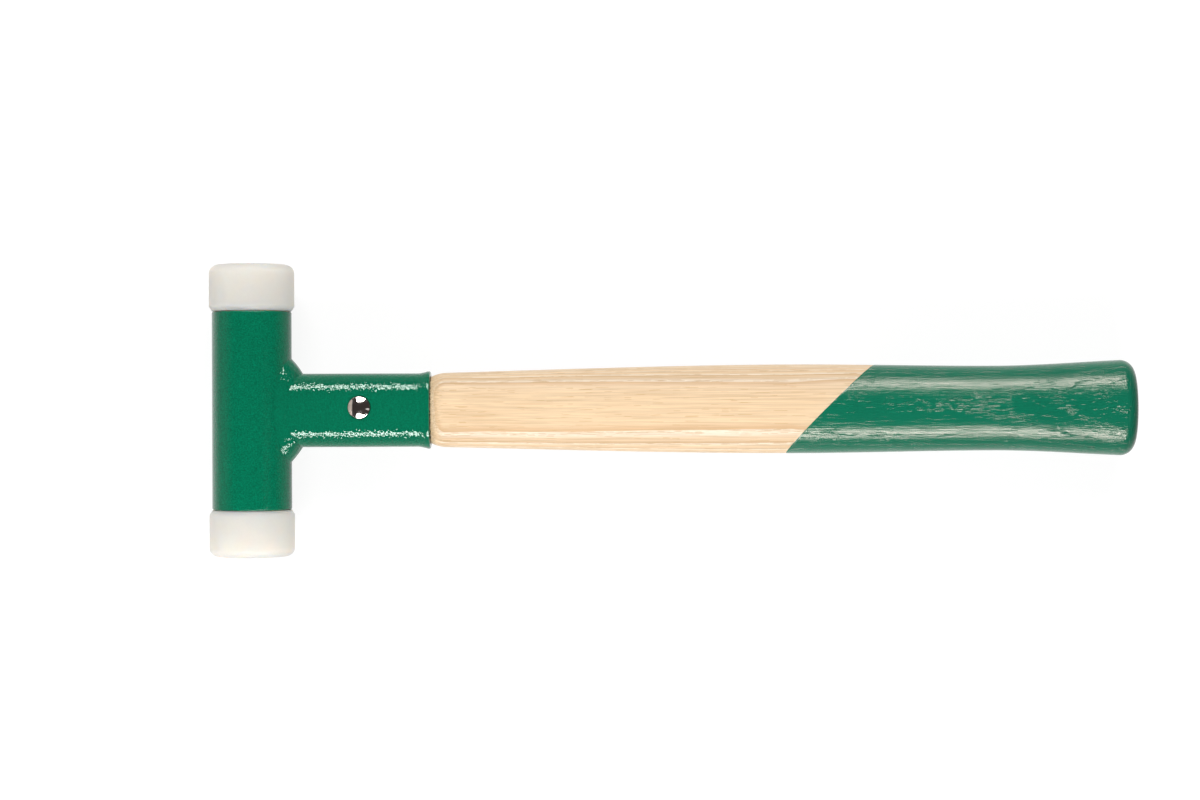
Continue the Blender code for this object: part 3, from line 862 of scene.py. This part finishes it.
def rivet_dent(point):
    """Flattens the socket's wall round the rivet's heads."""
    gap = math.hypot(point.x - RIVET_PLACE[0], point.y - RIVET_PLACE[1])
    beyond = (gap - RIVET_RADIUS - RIVET_SPOT_MARGIN) / RIVET_SPOT_EASE
    share = 1 - eased(min(1.0, max(0.0, beyond)))
    if abs(point.z) > RIVET_SEAT:
        point.z += (math.copysign(RIVET_SEAT, point.z) - point.z) * share
    return point


def socket_wall(bell_start):
    """Rings of the straight wall, from a saddle inside the tube's wall to the start of the flare."""
    saddle = TUBE_RADIUS - SOCKET_SUNK
    rings = []
    for i in range(SOCKET_STEPS):
        ring = []
        for point in socket_ring(0, 0):
            x = math.sqrt(saddle ** 2 - point.z ** 2)
            point.x = x + (bell_start - x) * i / SOCKET_STEPS
            ring.append(rivet_dent(point))
        rings.append(ring)
    return rings


def make_socket(enamel):
    """The oval socket: from inside the tube's wall out to a belled mouth, and in again over its rim."""
    bell_start = SOCKET_REACH - SOCKET_BELL_LENGTH
    rim_start = SOCKET_REACH - SOCKET_RIM_LENGTH
    rings = socket_wall(bell_start)
    for i in range(BELL_STEPS + 1):
        share = i / BELL_STEPS
        rings.append(socket_ring(bell_start + share * (rim_start - bell_start), bell(share)))
    for i in range(1, RIM_STEPS + 1):
        bend = math.pi * i / RIM_STEPS
        turned_in = SOCKET_WALL / 2 * (1 - math.cos(bend))
        rings.append(socket_ring(rim_start + SOCKET_RIM_LENGTH * math.sin(bend), SOCKET_BELL - turned_in))
    rings.append(socket_ring(SOCKET_REACH - SOCKET_MOUTH_DEPTH, SOCKET_BELL - SOCKET_WALL))
    rings.append(socket_ring(TUBE_RADIUS + SOCKET_HOLLOW_START, -SOCKET_WALL))
    bm = skin(rings, joined=True)
    return new_piece("handle_socket_enamelled", bm, "handle_socket", "green_paint", enamel, crease=50)


def weld_corners(point, outward):
    """The weld's root under the surface, and its toes on the socket and on the tube."""
    foot = TUBE_RADIUS - WELD_SUNK
    leg = WELD_LEG_ON_TUBE_SIDE * outward.y ** 2 + WELD_LEG_ON_TUBE_FRONT * outward.z ** 2
    leg += WELD_SUNK + wobble(point, *WELD_TUBE_WOBBLE)
    turn = math.asin(point.z / foot)
    toe_turn = turn + leg * outward.z / foot
    root = Vector((foot * math.cos(turn), point.y, point.z))
    socket_leg = WELD_LEG_ON_SOCKET + wobble(point, *WELD_SOCKET_WOBBLE)
    socket_toe = root + Vector((socket_leg, 0, 0))
    tube_toe = Vector((foot * math.cos(toe_turn), point.y + leg * outward.y, foot * math.sin(toe_turn)))
    return root, socket_toe, tube_toe


def make_weld(enamel):
    """The fillet bead round the socket's foot: a rippled face from the tube to the socket."""
    sunk = 2 * WELD_SUNK
    outline = oval(0, SOCKET_WIDTH - sunk, SOCKET_THICKNESS - sunk, SOCKET_SQUARENESS, WELD_POINTS)
    rings = [[] for _ in range(WELD_ROWS + 2)]
    length = 0.0
    for i, point in enumerate(outline):
        before = outline[i - 1]
        after = outline[(i + 1) % WELD_POINTS]
        length += (point - before).length
        outward = (after - before).cross(Vector((1, 0, 0))).normalized()
        root, socket_toe, tube_toe = weld_corners(point, outward)
        away = ((socket_toe + tube_toe) / 2 - root).normalized()
        fullness = WELD_BULGE_AT_SIDES + (1 - WELD_BULGE_AT_SIDES) * outward.z ** 2
        ripple = math.sin(length / WELD_RIPPLE_LENGTH * 2 * math.pi) + wobble(point, *WELD_RIPPLE_WOBBLE)
        swell = WELD_BULGE * fullness + ripple * WELD_RIPPLE_HEIGHT
        rings[0].append(root)
        for row in range(WELD_ROWS + 1):
            share = row / WELD_ROWS
            chord = socket_toe.lerp(tube_toe, share)
            rings[row + 1].append(chord + away * math.sin(math.pi * share) * swell)
    bm = skin(rings, joined=True)
    return new_piece("socket_weld_bead", bm, "socket_weld", "green_paint", enamel, crease=60)


def rivet_dome():
    """(radius, height) points of one head, from its top over its rolled edge and in to the shank."""
    fall = RIVET_FLANK_SLOPE * RIVET_RADIUS
    round_top = (fall ** 2 - RIVET_HEIGHT ** 2) / (2 * RIVET_HEIGHT)
    top = RIVET_SEAT + RIVET_HEIGHT
    dome = []
    for i in range(DOME_STEPS + 1):
        share = max(RIVET_TIP_SHARE, i / DOME_STEPS)
        drop = math.hypot(round_top, fall * share) - round_top
        rolled = max(0.0, (share - RIVET_EDGE_START) / (1 - RIVET_EDGE_START)) ** 2
        dome.append((RIVET_RADIUS * share, top - drop + RIVET_EDGE_ROLL * (1 - rolled)))
    underside = RIVET_SEAT - RIVET_SUNK
    return dome + [(RIVET_RADIUS, underside), (RIVET_RADIUS * RIVET_SHANK_SHARE, underside)]


def make_rivet(nickel):
    """A rivet with the same domed head on the front and on the back."""
    dome = rivet_dome()
    angles = [2 * math.pi * i / RIVET_POINTS for i in range(RIVET_POINTS)]
    rings = []
    for radius, height in dome + [(radius, -height) for radius, height in reversed(dome)]:
        rings.append([
            Vector((RIVET_PLACE[0] + radius * math.cos(a), RIVET_PLACE[1] + radius * math.sin(a), height))
            for a in angles
        ])
    return new_piece("handle_rivet_polished", skin(rings), "handle_rivet", "nickel_plate", nickel, crease=35)


# Handle: its sections are (x, width, thickness, squareness)


def section_between(start, end, slopes, x):
    """The handle's section at a place between two of its main ones."""
    rise = eased((x - start[0]) / (end[0] - start[0]), *slopes)
    return (x, *[a + (b - a) * rise for a, b in zip(start[1:], end[1:])])


def tenon_sections():
    """The handle inside the socket, up to its mouth."""
    inset = 2 * (SOCKET_WALL + TENON_CLEARANCE)
    out = 2 * SOCKET_BELL - inset
    tenon = (SOCKET_WIDTH - inset, SOCKET_THICKNESS - inset, SOCKET_SQUARENESS)
    mouth = (SOCKET_WIDTH + out, SOCKET_THICKNESS + out, SOCKET_SQUARENESS)
    return [
        (TUBE_RADIUS + TENON_START, *tenon),
        (SOCKET_REACH - SOCKET_BELL_LENGTH, *tenon),
        (SOCKET_REACH - TENON_MOUTH_DEPTH, *mouth),
    ]


def shoulder_sections(mouth, neck, belly, slopes):
    """The round shoulder, where the handle fills out from the socket's mouth to its full section."""
    full = section_between(neck, belly, slopes, mouth[0])
    lacks = [a - b for a, b in zip(full[1:], mouth[1:])]
    sections = []
    for i in range(1, SHOULDER_STEPS):
        share = i / SHOULDER_STEPS
        x, *sizes = section_between(neck, belly, slopes, mouth[0] + (SHOULDER_END - mouth[0]) * share)
        still_in = (1 - share) ** 2
        sections.append((x, *[size - lack * still_in for size, lack in zip(sizes, lacks)]))
    return sections


def butt_sections():
    """The butt's rounded edge, and its low crown."""
    sections = []
    for i in range(BUTT_STEPS + 1):
        angle = math.pi / 2 * i / BUTT_STEPS
        inset = 2 * BUTT_EDGE_RADIUS * (1 - math.cos(angle))
        x = BUTT_PLACE + BUTT_EDGE_RADIUS * math.sin(angle)
        sections.append((x, BUTT[0] - inset, BUTT[1] - inset, GRIP_SQUARENESS))
    rim = [size - 2 * BUTT_EDGE_RADIUS for size in BUTT]
    for share in BUTT_CROWN_SHARES:
        x = BUTT_PLACE + BUTT_EDGE_RADIUS + BUTT_CROWN * (1 - share ** 2)
        sections.append((x, rim[0] * share, rim[1] * share, GRIP_SQUARENESS))
    return sections


def handle_sections():
    """All the handle's sections, from inside the socket to the middle of the butt."""
    neck = (NECK_PLACE, *NECK, SOCKET_SQUARENESS)
    belly = (BELLY_PLACE, *BELLY, GRIP_SQUARENESS)
    waist = (WAIST_PLACE, *WAIST, GRIP_SQUARENESS)
    butt = (BUTT_PLACE, *BUTT, GRIP_SQUARENESS)
    neck_slopes = (NECK_EASE, 0)
    sections = tenon_sections()
    sections += shoulder_sections(sections[-1], neck, belly, neck_slopes)
    for first_x, start, end, slopes, steps in (
        (SHOULDER_END, neck, belly, neck_slopes, NECK_STEPS),
        (BELLY_PLACE, belly, waist, (0, 0), BELLY_STEPS),
        (WAIST_PLACE, waist, butt, (0, BUTT_EASE), WAIST_STEPS),
    ):
        for i in range(steps):
            sections.append(section_between(start, end, slopes, first_x + (end[0] - first_x) * i / steps))
    return sections + butt_sections()


def make_handle(ash, enamel):
    """The ash handle, with the enamel of its grip standing a hair proud along a slanted edge."""
    bm = skin([oval(*section) for section in handle_sections()])
    bmesh.ops.recalc_face_normals(bm, faces=bm.faces)
    point = Vector((HANDLE_REACH - PAINT_LENGTH, 0, 0))
    normal = Vector((1, -PAINT_SLANT, -PAINT_LEAN)).normalized()
    for shift in (0, PAINT_EDGE):
        everything = bm.verts[:] + bm.edges[:] + bm.faces[:]
        bmesh.ops.bisect_plane(bm, geom=everything, plane_co=point + normal * shift, plane_no=normal)
    bm.normal_update()
    for face in bm.faces:
        face.material_index = int((face.calc_center_median() - point).dot(normal) > 0)
    just_short = 0.9 * PAINT_EDGE
    raised = [vert for vert in bm.verts if (vert.co - point).dot(normal) > just_short]
    for vert in raised:
        vert.co += vert.normal * PAINT_THICKNESS
    return new_piece("wooden_handle_finished", bm, "wooden_handle", "lacquered_wood", ash, enamel, crease=30)


# Stage


def make_floor_finish():
    """White for the camera, and in the hammer's gloss a glow close by, which fades with distance."""
    material, tree, shader = new_finish(
        "white_sweep", Base_Color=FLOOR_GREY, Roughness=1.0, Specular_IOR_Level=0.0, Emission_Color=WHITE
    )
    path = node(tree, "ShaderNodeLightPath").outputs
    mirrored = maths(tree, "MAXIMUM", path["Is Glossy Ray"], path["Is Transmission Ray"])
    along = axes(tree, own_place(tree))["X"]
    by_head = scaled(tree, along, FLOOR_BY_HEAD, HEAD_GLOW)
    by_handle = scaled(tree, along, FLOOR_BY_SOCKET, HANDLE_GLOW)
    brightest = maths(tree, "MAXIMUM", by_head, by_handle)
    fall = scaled(tree, along, FLOOR_BY_HEAD, GLOW_FALL)
    near = maths(tree, "POWER", scaled(tree, path["Ray Length"], FLOOR_NEAR, (1.0, 0.0)), fall)
    near_glow = maths(tree, "MULTIPLY", mirrored, maths(tree, "MULTIPLY", brightest, near))
    glow = maths(tree, "MULTIPLY_ADD", path["Is Camera Ray"], FLOOR_GLOW, near_glow)
    tree.links.new(glow, shader.inputs["Emission Strength"])
    return material


def make_floor():
    """A wide plain floor, a hair under the hammer."""
    bm = bmesh.new()
    bmesh.ops.create_grid(bm, x_segments=1, y_segments=1, size=FLOOR_HALF)
    mesh = bpy.data.meshes.new("floor")
    bm.to_mesh(mesh)
    bm.free()
    mesh.materials.append(make_floor_finish())
    floor = bpy.data.objects.new("floor", mesh)
    floor.location = (0, 0, CAD_BOX[0][2] - FLOOR_GAP)
    bpy.context.scene.collection.objects.link(floor)


def make_world():
    """White behind the object for the camera, and a dim studio with a low pale wall on the head's side."""
    world = bpy.data.worlds.new("studio")
    bpy.context.scene.world = world
    world.use_nodes = True
    tree = world.node_tree
    way = axes(tree, node(tree, "ShaderNodeTexCoord").outputs["Generated"])
    wall_height = scaled(tree, way["X"], WALL_SIDES, WALL_HEIGHT)
    wall_share = maths(tree, "DIVIDE", way["Z"], wall_height)
    wall_light = scaled(tree, way["X"], WALL_SIDES, WALL_LIGHT)
    wall_light = maths(tree, "MULTIPLY", wall_light, scaled(tree, wall_share, (1.0, 0.0), (0.0, 1.0)))
    camera_ray = node(tree, "ShaderNodeLightPath").outputs["Is Camera Ray"]
    white = maths(tree, "MAXIMUM", camera_ray, wall_light)
    colour = mix_colours(tree, white, CEILING, WHITE)
    tree.links.new(colour, tree.nodes["Background"].inputs["Color"])


def make_softbox(name, aim, off_axis, azimuth, distance, size, radiance, in_gloss=True):
    """A rectangular lamp that faces a point of the handle's axis, from an angle off the vertical."""
    lamp = bpy.data.lights.new(name, "AREA")
    lamp.shape = "RECTANGLE"
    length, height = size
    lamp.size = length
    lamp.size_y = height
    lamp.energy = radiance * math.pi * length * height
    softbox = bpy.data.objects.new(name, lamp)
    bpy.context.scene.collection.objects.link(softbox)
    tilt = math.radians(off_axis)
    turn = math.radians(azimuth)
    middle = REST @ Vector((aim, 0, 0))
    way = Vector((math.sin(tilt) * math.cos(turn), math.sin(tilt) * math.sin(turn), math.cos(tilt)))
    softbox.location = middle + way * distance
    softbox.rotation_euler = (tilt, 0, turn + math.pi / 2)
    softbox.visible_glossy = in_gloss


def make_lights():
    """Long softboxes beside the handle, a small lamp at the right, and fills that no gloss shows."""
    make_softbox(
        "softbox_lower", aim=0.154, off_axis=54.5, azimuth=-90, distance=0.40, size=(0.48, 0.060),
        radiance=20.0,
    )
    make_softbox(
        "softbox_upper", aim=0.165, off_axis=53.5, azimuth=90, distance=1.2, size=(1.00, 0.225),
        radiance=13.8,
    )
    make_softbox(
        "small_lamp_right", aim=0.04, off_axis=50.3, azimuth=-12.7, distance=1.0, size=(0.16, 0.077),
        radiance=0.9,
    )
    make_softbox(
        "fill_left", aim=0.0, off_axis=74, azimuth=208, distance=0.4, size=(0.32, 0.32),
        radiance=2.6, in_gloss=False,
    )
    make_softbox(
        "fill_upper", aim=0.12, off_axis=50, azimuth=90, distance=1.0, size=(1.0, 0.4),
        radiance=2.8, in_gloss=False,
    )


def make_camera():
    """Straight above the photograph's middle, as far away as its slight perspective says."""
    lens = bpy.data.cameras.new("camera")
    lens.sensor_width = CAMERA_SENSOR
    lens.lens = CAMERA_SENSOR * CAMERA_DISTANCE / (PHOTO_WIDTH * PIXEL)
    camera = bpy.data.objects.new("camera", lens)
    bpy.context.scene.collection.objects.link(camera)
    right = (PHOTO_CENTRE[0] - HEAD_CENTRE_PIXEL[0]) * PIXEL
    up = (HEAD_CENTRE_PIXEL[1] - PHOTO_CENTRE[1]) * PIXEL
    camera.location = REST.translation + Vector((right, up, CAMERA_DISTANCE))
    camera.rotation_euler = (0, 0, CAMERA_ROLL)
    bpy.context.scene.camera = camera


def make_hammer():
    """Every piece of the hammer, and the finish of the shot and its discs, which keep their CAD shapes."""
    tube_enamel = make_head_enamel(
        "tube_enamel", wave_size=0.0007, depth=0.00015, stipple=0.20, run=1.0, mottle=0.75,
        Specular_IOR_Level=0.5,
    )
    socket_enamel = make_head_enamel(
        "socket_enamel", wave_size=0.00072, depth=0.00021, stipple=0.04, run=2.3, mottle=0.45,
        Specular_IOR_Level=0.75, Specular_Tint=(0.86, 1, 0.92, 1),
    )
    nylon = make_nylon()
    steel = make_shot_steel()
    make_head_tube(tube_enamel)
    make_nylon_face("nylon_face_upper_moulded", "nylon_face_upper", 1, nylon)
    make_nylon_face("nylon_face_lower_moulded", "nylon_face_lower", -1, nylon)
    make_socket(socket_enamel)
    make_weld(socket_enamel)
    make_rivet(make_nickel())
    make_handle(make_lacquered_ash(), make_grip_enamel())
    for name, obj in frame["nodes"].items():
        if name.startswith(("shot_ball", "chamber_disc")):
            obj.data.materials.clear()
            obj.data.materials.append(steel)


def main():
    """The hammer on its stage: its pieces, the floor, the world, the lamps and the camera."""
    make_hammer()
    make_floor()
    make_world()
    make_lights()
    make_camera()
    bpy.context.scene.view_settings.view_transform = "Standard"


main()
